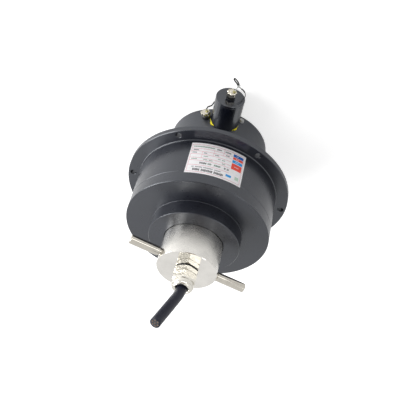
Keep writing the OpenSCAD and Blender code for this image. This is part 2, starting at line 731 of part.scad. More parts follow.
module gland_body() color(nickel) translate([0, 0, end_z]) difference() {
    union() {
        translate([0, 0, -10]) cylinder(r = gland_r, h = 10 + gasket_t + e);
        translate([0, 0, gasket_t]) turned_hex(hex_t);
        translate([0, 0, gasket_t + hex_t - e]) cylinder(r = gland_neck_r, h = 6.8);
    }
    translate([0, 0, -10 - e]) cylinder(r = 6, h = 40);
    translate([0, 0, ledge_z - end_z]) cylinder(r = 8, h = 20);
}

// Clamping seal, squeezed between body and dome nut
module gland_insert() color(rubber) translate([0, 0, insert_z]) turned([
    [4.9, ledge_z - insert_z], [7.9, ledge_z - insert_z], [7.9, -2.2],
    [9.8, -1.6], [9.8, -0.6], [9.2, 0], [4.9, 0]
]);

// Dome nut: hexagon below, then a domed collar with a rounded mouth
module gland_nut() color(nickel) translate([0, 0, nut_z]) difference() {
    union() {
        turned_hex(9.4);
        turned([
            [0, 9], [gland_af / 2 - 0.2, 9], for (a = [0 : 10 : 90])
                [gland_af / 2 - 3.4 + 3.2 * cos(a), 11.6 + (nut_h - 11.6) * sin(a)],
            [0, nut_h]
        ]);
    }
    turned([
        [0, -e], [gland_neck_r, -e], [gland_neck_r, nut_h - 8.2], [mouth_r, nut_h - 6.4],
        [mouth_r, nut_h - 0.9], [mouth_r + 0.9, nut_h], [mouth_r + 0.9, nut_h + e], [0, nut_h + e]
    ]);
}

module cable() color(rubber)
    swept([for (p = cable_route) p + [0, 0, insert_z]], cable_d / 2, 12, [0, 1, 0.1]);

rear_housing();
rear_cover();
rear_cover_screws();
rear_cover_seal();
main_housing();
housing_screws();
housing_seal();
front_cover();
front_cover_seal();
shaft_seal();
front_bearing_outer();
rear_bearing_outer();
bearing_circlip();
power_brush_holders();
holder_screws();
power_brushes();
brush_springs();
signal_brush_blocks();
signal_brush_wires();
outlet_tower();
tower_cap();
tower_seal();
connector_gaskets();
connector_bodies();
connector_nuts();
dust_caps();
cap_studs();
cap_lanyards();
lanyard_crimps();
lanyard_screws();
earth_screw();
label();
shaft();
front_bearing_inner();
front_bearing_balls();
front_bearing_cage();
rear_bearing_inner();
rear_bearing_balls();
rear_bearing_cage();
shaft_circlip();
power_rings();
power_insulators();
power_locknut();
signal_rings();
signal_insulators();
signal_locknut();
torque_arm_a();
torque_arm_b();
gland_gasket();
gland_body();
gland_insert();
gland_nut();
cable();
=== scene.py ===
"""The look of a flange-mounted slip ring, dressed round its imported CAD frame.

Everything is in metres, in the frame of the part: +Z along the shaft, the origin at the
centre of the rear face that it stands on, and the outlet tower towards -Y.
"""

import math

import bpy
from mathutils import Matrix, Vector


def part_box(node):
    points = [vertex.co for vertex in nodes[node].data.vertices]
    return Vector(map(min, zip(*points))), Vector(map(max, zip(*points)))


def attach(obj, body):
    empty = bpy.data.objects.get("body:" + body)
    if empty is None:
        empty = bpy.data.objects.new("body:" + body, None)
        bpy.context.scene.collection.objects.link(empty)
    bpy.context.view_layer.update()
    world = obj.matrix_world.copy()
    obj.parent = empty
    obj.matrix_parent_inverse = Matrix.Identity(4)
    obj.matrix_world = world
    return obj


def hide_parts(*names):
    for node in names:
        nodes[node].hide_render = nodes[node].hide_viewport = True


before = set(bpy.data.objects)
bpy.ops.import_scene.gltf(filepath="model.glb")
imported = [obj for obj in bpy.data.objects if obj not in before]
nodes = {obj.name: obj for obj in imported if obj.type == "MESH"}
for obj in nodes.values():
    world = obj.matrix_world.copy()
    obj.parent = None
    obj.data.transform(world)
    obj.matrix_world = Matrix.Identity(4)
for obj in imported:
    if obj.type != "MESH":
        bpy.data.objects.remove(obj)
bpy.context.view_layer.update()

MM = 0.001
TURN = 2 * math.pi

# ---------- sizes taken from the frame ----------

tower_low, tower_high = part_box("outlet_tower")
tower_axis_z = (tower_low.z + tower_high.z) / 2
shaft_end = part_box("shaft")[1].z
label_low, label_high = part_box("label")
label_radius = -label_low.y
tower_front = -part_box("tower_cap")[0].y
rear_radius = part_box("rear_housing")[1].x
gasket_low, gasket_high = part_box("gland_gasket")
gland_gap_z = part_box("gland_nut")[0].z
cover_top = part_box("front_cover")[1].z


# ---------- camera ----------

CAMERA_PLACE = Vector((0, -0.56073, 0.56189))
CAMERA_TARGET = Vector((0, 0, 0.072))
CAMERA_TWIST = Vector((0.020379, -0.009309, -0.251493))  # axis times angle, in radians
SENSOR_WIDTH = 36
FOCAL_LENGTH = 57.44  # this and the sensor's width are in millimetres


def add_camera():
    """The camera looks down on the standing part with its own top side turned under."""
    back = (CAMERA_PLACE - CAMERA_TARGET).normalized()
    right = Vector((0, 0, -1)).cross(back).normalized()
    look = Matrix((right, back.cross(right), back)).transposed()
    look = look @ Matrix.Rotation(-CAMERA_TWIST.length, 3, CAMERA_TWIST.normalized())
    data = bpy.data.cameras.new("camera")
    data.sensor_width = SENSOR_WIDTH
    data.lens = FOCAL_LENGTH
    data.clip_start = 0.01
    camera = bpy.data.objects.new("camera", data)
    camera.matrix_world = Matrix.Translation(CAMERA_PLACE) @ look.to_4x4()
    bpy.context.scene.collection.objects.link(camera)
    bpy.context.scene.camera = camera


# ---------- mesh helpers ----------

def add_piece(name, points, faces, body, material, slot, smooth=True, uvs=None):
    """A mesh object that rides on a body. uvs holds one pair for each point."""
    mesh = bpy.data.meshes.new(name)
    mesh.from_pydata([tuple(p) for p in points], [], faces)
    mesh.polygons.foreach_set("use_smooth", [smooth] * len(mesh.polygons))
    if uvs is not None:
        layer = mesh.uv_layers.new(name="along")
        for loop in mesh.loops:
            layer.data[loop.index].uv = uvs[loop.vertex_index]
    mesh.update()
    mesh.materials.append(material)
    piece = bpy.data.objects.new(name, mesh)
    bpy.context.scene.collection.objects.link(piece)
    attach(piece, body)
    return piece


def smooth_path(points, step):
    """Points about a step apart along a Catmull-Rom curve through the given ones."""
    points = [Vector(p) for p in points]
    padded = [2 * points[0] - points[1]] + points + [2 * points[-1] - points[-2]]
    path = []
    for a, b, c, d in zip(padded, padded[1:], padded[2:], padded[3:]):
        count = max(1, round((c - b).length / step))
        for i in range(count):
            t = i / count
            path.append(
                b
                + (c - a) * (t / 2)
                + (2 * a - 5 * b + 4 * c - d) * (t * t / 2)
                + (3 * b - a - 3 * c + d) * (t**3 / 2)
            )
    path.append(points[-1])
    return path


def frames_along(path):
    """A point, two side directions and the distance from the start, for each point of a path."""
    result = []
    travelled = 0.0
    side = None
    for i, point in enumerate(path):
        ahead = (path[min(i + 1, len(path) - 1)] - path[max(i - 1, 0)]).normalized()
        if side is None:
            side = ahead.orthogonal().normalized()
        side = (side - ahead * side.dot(ahead)).normalized()
        if i:
            travelled += (point - path[i - 1]).length
        result.append((point, side, ahead.cross(side), travelled))
    return result


def tube(path, radius, sides):
    """Points, faces and UVs of a closed round tube along a path. A function gives the radius
    from the number of a point in the path."""
    points, uvs, faces = [], [], []
    for i, (point, side, up, travelled) in enumerate(frames_along(path)):
        reach = radius(i) if callable(radius) else radius
        for k in range(sides):
            angle = TURN * k / sides
            points.append(point + reach * (math.cos(angle) * side + math.sin(angle) * up))
            uvs.append((k / sides, travelled))
    rings = len(path)
    for i in range(rings - 1):
        for k in range(sides):
            a = i * sides + k
            b = i * sides + (k + 1) % sides
            faces.append((a, b, b + sides, a + sides))
    faces.append(tuple(reversed(range(sides))))
    faces.append(tuple((rings - 1) * sides + k for k in range(sides)))
    return points, faces, uvs


def join_shapes(shapes):
    """One list of points, faces and UVs from several."""
    points, faces, uvs = [], [], []
    for shape_points, shape_faces, shape_uvs in shapes:
        start = len(points)
        points += shape_points
        uvs += shape_uvs
        faces += [tuple(start + i for i in face) for face in shape_faces]
    return points, faces, uvs


def lathe(profile, sides, closed=False, reach=None):
    """Points, faces and UVs of a profile turned about Z. The profile is a loop where closed is
    set, and is capped at both ends otherwise. reach changes a radius by its angle."""
    points, faces = [], []
    for radius, height in profile:
        for k in range(sides):
            angle = TURN * k / sides
            r = reach(radius, angle) if reach else radius
            points.append(Vector((r * math.cos(angle), r * math.sin(angle), height)))
    rings = len(profile)
    for i in range(rings if closed else rings - 1):
        for k in range(sides):
            a, b = i * sides + k, i * sides + (k + 1) % sides
            c, d = [(j + sides) % (rings * sides) for j in (b, a)]
            faces.append((a, b, c, d))
    if not closed:
        faces.append(tuple(reversed(range(sides))))
        faces.append(tuple((rings - 1) * sides + k for k in range(sides)))
    return points, faces, [(0, 0)] * len(points)


STRANDS = 6
ROPE_LAY = 0.004  # the length of one turn of a strand


def rope(path, radius):
    """A laid wire rope: strands that wind round the path."""
    shapes = []
    frames = frames_along(path)
    for strand in range(STRANDS):
        line = []
        for point, side, up, travelled in frames:
            turn = TURN * (strand / STRANDS + travelled / ROPE_LAY)
            line.append(point + radius * 0.66 * (math.cos(turn) * side + math.sin(turn) * up))
        shapes.append(tube(line, radius * 0.38, 6))
    return join_shapes(shapes)


# ---------- material helpers ----------

def add_node(tree, kind, inputs=(), **properties):
    """A shader node. inputs pairs a socket's name or number with a value or another socket."""
    node = tree.nodes.new("ShaderNode" + kind)
    for key, value in properties.items():
        setattr(node, key, value)
    for key, value in dict(inputs).items():
        if isinstance(value, bpy.types.NodeSocket):
            tree.links.new(value, node.inputs[key])
        else:
            node.inputs[key].default_value = value
    return node


class Look:
    """A material with a Principled shader, and short ways to add nodes to it."""

    def __init__(self, name, color, roughness, metallic=0.0, **sockets):
        self.material = bpy.data.materials.new(name)
        self.material.use_nodes = True
        self.tree = self.material.node_tree
        self.shader = self.tree.nodes["Principled BSDF"]
        self.shader.inputs["Base Color"].default_value = (*color, 1)
        self.shader.inputs["Roughness"].default_value = roughness
        self.shader.inputs["Metallic"].default_value = metallic
        for socket, value in sockets.items():
            self.shader.inputs[socket.replace("_", " ")].default_value = value

    def add(self, kind, inputs=(), **properties):
        return add_node(self.tree, kind, inputs, **properties)

    def link(self, socket, name):
        self.tree.links.new(socket, self.shader.inputs[name])

    def place(self):
        """The point on the part, which moves with its body."""
        return self.add("TexCoord").outputs["Object"]

    def math(self, operation, *values):
        """Values are numbers or sockets."""
        return self.add("Math", dict(enumerate(values)), operation=operation).outputs[0]

    def turned(self, axis="Z", height=0.0):
        """A number that changes along a turned surface: the distance from its axis plus the place
        along it. A Y axis lies at the height given."""
        parts = self.add("SeparateXYZ", {0: self.place()}).outputs
        if axis == "Z":
            across, other, along = parts["X"], parts["Y"], parts["Z"]
        else:
            across, other, along = parts["X"], self.math("SUBTRACT", parts["Z"], height), parts["Y"]
        squares = [self.math("MULTIPLY", part, part) for part in (across, other)]
        return self.math("ADD", self.math("SQRT", self.math("ADD", *squares)), along)

    def lines(self, number, per_metre, detail=2.0):
        """Fine lines at right angles to the way in which the number changes."""
        return self.add(
            "TexNoise", {"W": number, "Scale": per_metre, "Detail": detail}, noise_dimensions="1D"
        ).outputs[0]

    def cloud(self, per_metre, detail=3.0):
        """Soft patches."""
        return self.add(
            "TexNoise", {"Vector": self.place(), "Scale": per_metre, "Detail": detail}
        ).outputs[0]

    def spread(self, number, low, high):
        """Takes the middle of a noise, 0.3 to 0.7, to the range from low to high."""
        return self.add(
            "MapRange",
            {"Value": number, "From Min": 0.3, "From Max": 0.7, "To Min": low, "To Max": high},
        ).outputs[0]

    def mix(self, number, low, high):
        """A colour between two colours."""
        inputs = {"Factor": number, 6: (*low, 1), 7: (*high, 1)}
        return self.add("Mix", inputs, data_type="RGBA").outputs[2]

    def turned_tangent(self, amount, axis="Z"):
        """Stretches the highlights across the turning marks round an axis."""
        quarter_turn = 0.25
        self.shader.inputs["Anisotropic"].default_value = amount
        self.shader.inputs["Anisotropic Rotation"].default_value = quarter_turn
        self.link(self.add("Tangent", direction_type="RADIAL", axis=axis).outputs[0], "Tangent")

    def bump(self, height, strength, distance, under=None):
        """A bumped normal, on top of another one where under is given."""
        inputs = {"Height": height, "Strength": strength, "Distance": distance}
        if under is not None:
            inputs["Normal"] = under
        return self.add("Bump", inputs).outputs[0]


# ---------- materials ----------

def shaded(color, share):
    """The same colour, darker."""
    return tuple(share * c for c in color)


OXIDE_IOR = 1.76
OXIDE_TINT = (0.90, 0.94, 1, 1)


def anodised(name, color, rough, level, axis="Z", height=0.0, grain=0.08, sheen=0.3):
    """Black anodised aluminium: fine turning lines and soft patches under a hard oxide layer.
    rough holds the lowest and the highest roughness."""
    look = Look(name, color, rough[1], IOR=OXIDE_IOR, Specular_IOR_Level=level)
    look.shader.inputs["Specular Tint"].default_value = OXIDE_TINT
    number = look.turned(axis, height)
    fine = look.lines(number, 2600)
    broad = look.lines(number, 420, 3.0)
    look.link(look.mix(look.spread(look.cloud(38), 0, 1), shaded(color, 0.7), color), "Base Color")
    patches = look.math("MULTIPLY_ADD", broad, 0.5, look.math("MULTIPLY", look.cloud(120), 0.5))
    look.link(look.spread(patches, *rough), "Roughness")
    pores = look.bump(look.cloud(5200, 1.0), grain, 0.00002)
    ridges = look.bump(broad, 2 * grain, 0.0001, pores)
    look.link(look.bump(fine, 2 * grain, 0.00002, ridges), "Normal")
    look.turned_tangent(sheen, axis)
    return look.material


def turned_steel(name, color, rough, sheen=0.5, depth=0.1, end=None):
    """Fine-turned stainless steel. Above the height of end it is faced and polished."""
    look = Look(name, color, rough[0], 1.0)
    fine = look.lines(look.turned(), 2400)
    roughness = look.spread(look.cloud(70), *rough)
    if end is not None:
        height = look.add("SeparateXYZ", {0: look.place()}).outputs["Z"]
        faced = look.math("GREATER_THAN", height, end)
        polished = look.spread(look.cloud(90), 0.05, 0.11)
        choice = {"Factor": faced, "A": roughness, "B": polished}
        roughness = look.add("Mix", choice, data_type="FLOAT").outputs[0]
    look.link(roughness, "Roughness")
    look.link(look.mix(look.spread(look.cloud(60), 0, 1), shaded(color, 0.88), color), "Base Color")
    look.link(look.bump(fine, depth, 0.00002), "Normal")
    look.turned_tangent(sheen)
    return look.material


def plated(name, color, roughness, depth=0.08, waves=0.0):
    """Nickel plating or another bright metal finish, with a faint orange peel. waves adds the
    longer waves of a forged blank."""
    look = Look(name, color, roughness, 1.0)
    look.link(look.spread(look.cloud(500), roughness * 0.7, roughness * 1.5), "Roughness")
    shade = shaded(color, 0.85)
    look.link(look.mix(look.spread(look.cloud(150), 0, 1), shade, color), "Base Color")
    peel = look.bump(look.cloud(1400, 2.0), depth, 0.00005)
    look.link(look.bump(look.cloud(260, 1.0), waves, 0.0008, peel), "Normal")
    return look.material


def moulded(name, color, roughness, depth=0.1, scale=3000, patches=0.8):
    """Moulded plastic or rubber. patches is the share of its colour where it is darkest."""
    look = Look(name, color, roughness)
    shade = shaded(color, patches)
    look.link(look.mix(look.spread(look.cloud(90), 0, 1), shade, color), "Base Color")
    look.link(look.spread(look.cloud(300), roughness * 0.85, roughness * 1.15), "Roughness")
    look.link(look.bump(look.cloud(scale, 2.0), depth, 0.00004), "Normal")
    return look.material


def cable_jacket():
    """Black jacket that shows the lay of its six outer cores, with a fine rough skin."""
    look = Look("cable_jacket", (0.010, 0.010, 0.017), 0.40, Specular_IOR_Level=0.35)
    uv = look.add("SeparateXYZ", {0: look.add("UVMap", uv_map="along").outputs[0]}).outputs
    around = look.math("MULTIPLY", uv["X"], TURN)
    skin = look.cloud(1500, 3.0)
    across = look.math("MULTIPLY", around, 6)
    lay = look.math("SINE", look.math("ADD", across, look.math("MULTIPLY", uv["Y"], 500)))
    rings = look.lines(uv["Y"], 1100.0, 1.0)
    dark, light = (0.003, 0.004, 0.011), (0.016, 0.019, 0.038)
    look.link(look.mix(look.spread(skin, 0, 1), dark, light), "Base Color")
    look.link(look.spread(skin, 0.32, 0.55), "Roughness")
    grain = look.bump(skin, 0.6, 0.0002)
    ribs = look.bump(rings, 0.5, 0.0002, grain)
    look.link(look.bump(lay, 0.25, 0.0001, ribs), "Normal")
    return look.material


def printed(name, color):
    """Ink on film."""
    return moulded(name, color, 0.4, depth=0.03, scale=1500, patches=0.93)


def wire(name, color):
    """Drawn steel wire and the crimps pressed on it."""
    roughness = 0.35
    look = Look(name, color, roughness, 1.0)
    look.link(look.spread(look.cloud(2500), 0.7 * roughness, 1.4 * roughness), "Roughness")
    look.link(look.bump(look.cloud(6000, 2.0), 0.3, 0.00005), "Normal")
    return look.material


# ---------- the cord ----------

CABLE_EXIT = Vector((0, 0, 0.2062))
CABLE_DIAMETER = 0.011
# From the exit, in millimetres
CABLE_ROUTE = [
    (0, 0, 0), (0, 0, 4.6), (0.3, -0.4, 9.3), (1, -1.3, 14.1), (2.1, -2.8, 18.7),
    (3.4, -4.5, 23.2), (4.8, -6.3, 27.7), (6.2, -8.1, 32.2), (7.6, -9.9, 36.7),
    (9, -11.7, 41.2), (10.4, -13.5, 45.7), (11.8, -15.3, 50.2), (13.2, -17.1, 54.7),
    (14.6, -18.9, 59.2), (16.1, -20.8, 64),
]


def add_cable():
    """The flying lead: a jacket cut square, with the ends of its black cores showing."""
    path = smooth_path([CABLE_EXIT + MM * Vector(p) for p in CABLE_ROUTE], 0.001)
    end, side, up, _ = frames_along(path)[-1]
    ahead = side.cross(up)
    points, faces, uvs = tube(path, CABLE_DIAMETER / 2, 48)
    slot = "cable_jacket"
    jacket = add_piece("cable_jacket", points, faces, "rotor", cable_jacket(), slot, uvs=uvs)
    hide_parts("cable")
    # The name, radius, length and material of each. They start inside the jacket.
    parts = (
        ("core", 0.0014, 0.0012, moulded("core_black", (0.016, 0.016, 0.018), 0.5)),
        ("copper", 0.0005, 0.0013, plated("core_copper", (0.20, 0.11, 0.07), 0.5)),
    )
    inside = ahead * 0.001
    pitch_radius = 0.0031
    for i in range(7):
        turn = TURN / 6 * i
        offset = pitch_radius * (math.cos(turn) * side + math.sin(turn) * up) if i else Vector()
        start = end + offset - inside
        for part, radius, reach, look in parts:
            points, faces, _ = tube([start, start + ahead * reach], radius, 20)
            add_piece(f"{part}_{i}", points, faces, "rotor", look, slot, smooth=False)


# ---------- lanyards ----------

# Routes of the dust caps' wires, in millimetres
CAP_LINK = [(-2.4, -103.5, 17), (-3, -105, 15.9), (-4, -107, 14.6), (-5.6, -108.8, 12.8)]
EYE_ROUTE = [
    (-5.6, -110, 12), (-4.8, -111, 11.2), (-3, -112.6, 9.9), (-0.9, -113.8, 8.8),
    (0.9, -114.2, 8.2), (1.3, -113.4, 8.7), (0.2, -112.5, 9.7), (-1.8, -111.4, 10.8),
    (-3.6, -110.3, 11.9), (-4.7, -109.5, 12.9),
]
TAIL_ROUTE = [
    (-5.6, -108.8, 12.8), (-7.2, -107.4, 12.6), (-9.2, -105.6, 12), (-11.4, -103.6, 11.2),
    (-13.2, -101, 10.2), (-14.6, -97.6, 8.8), (-15.3, -93.6, 7.4), (-15.2, -89.6, 6.3),
]
SIDE_ROUTE = [
    (22.5, -63.8, 14.5), (23.3, -66.4, 14.6), (23, -68.8, 13.9), (21.2, -70, 12.6),
    (19, -70.6, 11.2), (17.6, -72.6, 9.4), (16.4, -75.8, 7.4), (15.2, -79.4, 6.1),
    (14.6, -82.8, 5.7), (14.5, -85.6, 5.7),
]


def add_lanyards():
    """Laid steel wires, with black sleeves shrunk over the eye and over a part of each wire."""
    wire_radius, sleeve_radius, eye_radius = 0.0005, 0.00075, 0.00078

    def metres(route, step=0.0004):
        return smooth_path([MM * Vector(p) for p in route], step)

    tail, side, eye = metres(TAIL_ROUTE), metres(SIDE_ROUTE), metres(EYE_ROUTE)
    wires = join_shapes([rope(path, wire_radius) for path in (metres(CAP_LINK), tail, side)])
    steel_look = wire("lanyard_wire", (0.40, 0.41, 0.40))
    steel = add_piece("lanyard_wires", *wires[:2], "stator", steel_look, "lanyard_wire")
    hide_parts("cap_lanyards")
    sleeved = join_shapes([
        tube(eye, eye_radius, 12),
        tube(tail[len(tail) // 5 : len(tail) // 2], sleeve_radius, 12),
        tube(side[len(side) // 8 : len(side) * 3 // 5], sleeve_radius, 12),
    ])
    sleeve_look = moulded("lanyard_sleeve", (0.006, 0.009, 0.008), 0.4)
    add_piece("lanyard_sleeves", *sleeved[:2], "stator", sleeve_look, "lanyard_wire")


# ---------- turned and pressed trim ----------

# The side connector: its direction, its height and how deep its seat is cut
SIDE_ANGLE = math.radians(-68.5)
SIDE_Z = 0.0145
SIDE_SEAT = 0.00035


def connector_places():
    """The two connectors: out of the tower's cap, and out of the rear housing beside the tower."""
    quarter = math.pi / 2
    on_tower = (
        Matrix.Translation((0, -tower_front, tower_axis_z)) @ Matrix.Rotation(quarter, 4, "X")
    )
    beside = (
        Matrix.Rotation(SIDE_ANGLE, 4, "Z")
        @ Matrix.Translation((rear_radius - SIDE_SEAT, 0, SIDE_Z))
        @ Matrix.Rotation(quarter, 4, "Y") @ Matrix.Rotation(quarter, 4, "Z")
    )
    return on_tower, beside


def add_dust_caps(material):
    """Cast caps with eight scalloped grips, a groove round the top and a rolled rim."""
    # in millimetres, along the connector's axis
    profile = [
        (0.05, 7.2), (4.05, 7.2), (4.05, 6.0), (5.2, 6.0), (5.5, 6.3), (5.5, 8.0), (5.3, 8.4),
        (4.6, 8.9), (3.9, 8.95), (3.7, 8.5), (3.3, 8.5), (3.1, 9.0), (0.05, 9.0),
    ]
    skirt = 4.5

    def grip(radius, angle):
        if radius < skirt:
            return radius
        return radius * (1.03 - 0.17 * abs(math.sin(4 * angle)) ** 3)

    points, faces, uvs = lathe(profile, 96, reach=grip)
    shapes = join_shapes(
        [([place @ (MM * point) for point in points], faces, uvs) for place in connector_places()]
    )
    slot = "nickel_plate"
    caps = add_piece("scalloped_caps", *shapes[:2], "stator", material, slot, smooth=False)
    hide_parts("dust_caps")


BOSS_RADIUS = 0.0505
BOSS_HEIGHT = 0.017


def add_cover_fillet(material):
    """The small radius that the turning tool leaves at the foot of the front cover's boss."""
    foot = cover_top - BOSS_HEIGHT
    size, sunk, steps = 0.0004, 0.00005, 8
    profile = [(BOSS_RADIUS - sunk, foot - sunk), (BOSS_RADIUS + size, foot - sunk)]
    for i in range(steps + 1):
        turn = math.pi / 2 * i / steps
        profile.append(
            (BOSS_RADIUS + size * (1 - math.sin(turn)), foot + size * (1 - math.cos(turn)))
        )
    profile.append((BOSS_RADIUS - sunk, foot + size))
    fillet = lathe(profile, 192, closed=True)
    add_piece("cover_fillet", *fillet[:2], "stator", material, "anodised_housing", smooth=False)


def add_gland_trim(material):
    """The washer under the gland's hexagon and the O-ring between the hexagon and the dome nut."""
    slot = "black_rubber"
    inside, outside, bulge = 0.0101, 0.0122, 0.0002
    middle, half = (gasket_low.z + gasket_high.z) / 2, (gasket_high.z - gasket_low.z) / 2
    edge = []
    for i in range(7):
        turn = math.pi * i / 6
        edge.append((outside + bulge * math.sin(turn), middle - half * math.cos(turn)))
    profile = [(inside, gasket_low.z)] + edge + [(inside, gasket_high.z)]
    washer = add_piece(
        "gland_washer", *lathe(profile, 96, closed=True)[:2], "rotor", material, slot
    )
    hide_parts("gland_gasket")
    radius, thick, middle = 0.0113, 0.0005, gland_gap_z - 0.0002
    ring = []
    for i in range(12):
        turn = TURN * i / 12
        ring.append((radius + thick * math.cos(turn), middle + thick * math.sin(turn)))
    add_piece("gland_o_ring", *lathe(ring, 96, closed=True)[:2], "rotor", material, slot)


# The radii of the tower and of the joint at its foot, where the sealant lies
TOWER_RADIUS = 0.0164
JOINT_RADIUS = 0.0592


def add_tower_beads(material):
    """Sealant pressed out of the joint on each side of the tower."""
    count = 40

    def thickness(i):
        swell = math.sin(math.pi * (i + 0.5) / (count + 1)) ** 0.4
        return 0.0013 * (swell * (1 + 0.12 * math.sin(0.9 * i)))

    shapes = []
    for start, end in ((46, 66), (-48, -66)):
        path = []
        for i in range(count + 1):
            turn = math.radians(start + (end - start) * i / count)
            x = TOWER_RADIUS * math.sin(turn)
            z = tower_axis_z + TOWER_RADIUS * math.cos(turn)
            path.append(Vector((x, -math.sqrt(JOINT_RADIUS**2 - x * x), z)))
        shapes.append(tube(path, thickness, 16))
    add_piece("tower_beads", *join_shapes(shapes)[:2], "stator", material, "yellow_seal")


# ---------- label print ----------

LABEL_START = -math.acos(label_high.x / label_radius)
LABEL_END = -math.acos(label_low.x / label_radius)


def on_label(across, down, lift):
    """A point over the label: across from its +X end and down from the flange, both 0 to 1."""
    angle = LABEL_START + (LABEL_END - LABEL_START) * across
    radius = label_radius + lift
    height = label_low.z + (label_high.z - label_low.z) * down
    return Vector((radius * math.cos(angle), radius * math.sin(angle), height))


INK_FOOT = 0.000004  # the gap between the label and the underside of the ink
INK_TOP = 0.00003


def ink_patch(left, right, top, bottom, thick):
    """A thin closed patch of ink that follows the label's curve."""
    columns = max(1, math.ceil((right - left) * 24))
    corners = (top, INK_FOOT), (bottom, INK_FOOT), (bottom, thick), (top, thick)
    points, faces = [], []
    for i in range(columns + 1):
        across = left + (right - left) * i / columns
        points += [on_label(across, down, lift) for down, lift in corners]
    for i in range(columns):
        for k in range(4):
            a, b = 4 * i + k, 4 * i + (k + 1) % 4
            faces.append((a, b, b + 4, a + 4))
    end = 4 * columns
    faces += [(3, 2, 1, 0), (end, end + 1, end + 2, end + 3)]
    return points, faces, [(0, 0)] * len(points)


def ink(name, color, patches, thick=INK_TOP):
    """Every patch of one colour, as one piece. A patch is left, right, top and bottom."""
    shapes = join_shapes([ink_patch(*patch, thick) for patch in patches])
    look = printed(f"ink_{name}", color)
    add_piece(f"label_print_{name}", *shapes[:2], "stator", look, "label_film", smooth=False)


def strokes(middle, height, *spans, pitch=0.014):
    """Words shown as rows of upright strokes."""
    result = []
    for left, right in spans:
        count = max(1, round((right - left) / pitch))
        step = (right - left) / count
        for i in range(count):
            half = height * (1, 0.75, 0.9)[i % 3] / 2
            start = left + step * i
            result.append((start, left + step * (i + 0.72), middle - half, middle + half))
    return result


def form_rules():
    """The label's border, and the rows and columns of its form."""
    half = 0.0045
    left, right, top, bottom = 0.025, 0.965, 0.06, 0.955
    form_right = 0.745
    rows = [(left, right, v) for v in (top, bottom)]
    rows += [(left, form_right, v) for v in (0.19, 0.276, 0.376, 0.496, 0.586, 0.737)]
    columns = [(u, top, bottom) for u in (left, right)]
    columns += [(0.42, 0.19, 0.376), (0.59, 0.06, 0.276), (0.225, 0.276, 0.496)]
    return (
        [(start, end, v - half, v + half) for start, end, v in rows]
        + [(u - half / 2, u + half / 2, start, end) for u, start, end in columns]
    )


def add_label_print():
    """A generic data label: a ruled form, strokes for words and a column of colour blocks."""
    ink("pink", (0.72, 0.26, 0.32), form_rules())
    ink("pale_green", (0.26, 0.36, 0.30),
        strokes(0.123, 0.045, (0.05, 0.42))
        + strokes(0.43, 0.035, (0.26, 0.34), (0.513, 0.557), (0.582, 0.64))
        + strokes(0.54, 0.035, (0.06, 0.16), (0.27, 0.343), (0.365, 0.432), (0.595, 0.653)))
    ink("dark_grey", (0.10, 0.11, 0.12),
        strokes(0.13, 0.045, (0.462, 0.542), (0.61, 0.717))
        + strokes(0.235, 0.04, (0.06, 0.15), (0.634, 0.7))
        + strokes(0.325, 0.035, (0.05, 0.13), (0.25, 0.31), (0.45, 0.52)))
    ink("black", (0.015, 0.015, 0.02),
        strokes(0.66, 0.06, (0.218, 0.34), (0.65, 0.68), (0.70, 0.735))
        + strokes(0.885, 0.075, (0.127, 0.251), (0.275, 0.473), (0.495, 0.659), pitch=0.02))
    ink("green", (0.06, 0.15, 0.10), strokes(0.66, 0.055, (0.361, 0.427), (0.47, 0.586)))
    ink("grey", (0.20, 0.21, 0.23),
        strokes(0.80, 0.035, (0.1, 0.14), (0.162, 0.289), (0.306, 0.469), (0.498, 0.607)))
    ink("blue", (0.003, 0.13, 0.50), [(0.762, 0.955, 0.09, 0.18)])
    ink("light_blue", (0.02, 0.34, 0.78), [(0.762, 0.955, 0.285, 0.375), (0.70, 0.80, 0.80, 0.87)])
    ink("red", (0.88, 0.07, 0.04), [(0.762, 0.955, 0.19, 0.265), (0.762, 0.955, 0.39, 0.58)])
    ink("mint", (0.55, 0.72, 0.60), [(0.866, 0.937, 0.765, 0.866)])
    ink("white", (0.80, 0.80, 0.81),
        [patch for v, right in ((0.135, 0.86), (0.228, 0.87), (0.33, 0.88), (0.485, 0.90))
         for patch in strokes(v, 0.024, (0.82, right))], 0.00005)


# ---------- dressing the frame's own nodes ----------

def dress(material, *names):
    for name in names:
        node = nodes[name]
        node.data.materials.clear()
        node.data.materials.append(material)


